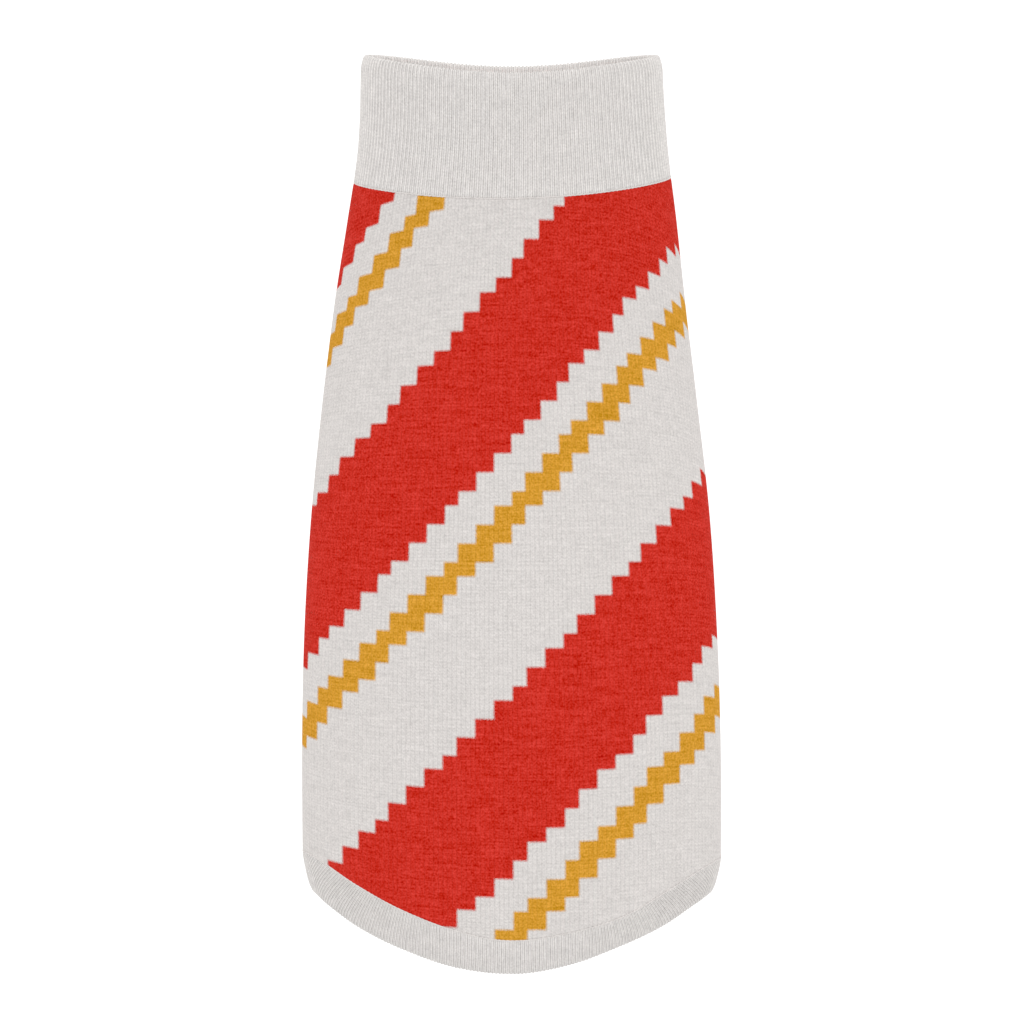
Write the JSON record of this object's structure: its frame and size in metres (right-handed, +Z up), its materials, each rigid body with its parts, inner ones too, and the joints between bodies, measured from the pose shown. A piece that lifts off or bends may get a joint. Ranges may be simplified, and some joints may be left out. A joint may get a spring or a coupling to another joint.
{
  "type": "dog sweater",
  "caption": "Hollow knitted dog sweater with a ribbed collar, a long curved back panel, a shorter belly panel, ribbed hem and ribbed leg holes.",
  "frame": {"origin": "where the wearer's withers hold the sweater up: the inner face of the back panel, on the back line, just behind the neck seam", "axes": "+Y along the back from the tail to the neck, +X to the wearer's right, +Z up from the belly to the back"},
  "size_m": [0.1918, 0.4053, 0.1308],
  "materials": {
    "collar_rib": "off-white one-by-one rib knit, matt",
    "back_knit": "off-white jersey knit with stepped diagonal stripes in red and gold, matt",
    "belly_knit": "off-white jersey knit with stepped diagonal stripes in red and gold, matt",
    "hem_rib": "off-white one-by-one rib knit, matt",
    "cuff_rib": "off-white one-by-one rib knit, matt"
  },
  "bodies": {
    "root": {"neck_band": "collar_rib", "back_panel": "back_knit", "belly_panel": "belly_knit", "hem_band": "hem_rib", "leg_band_left": "cuff_rib", "leg_band_right": "cuff_rib"}
  },
  "joints": []
}
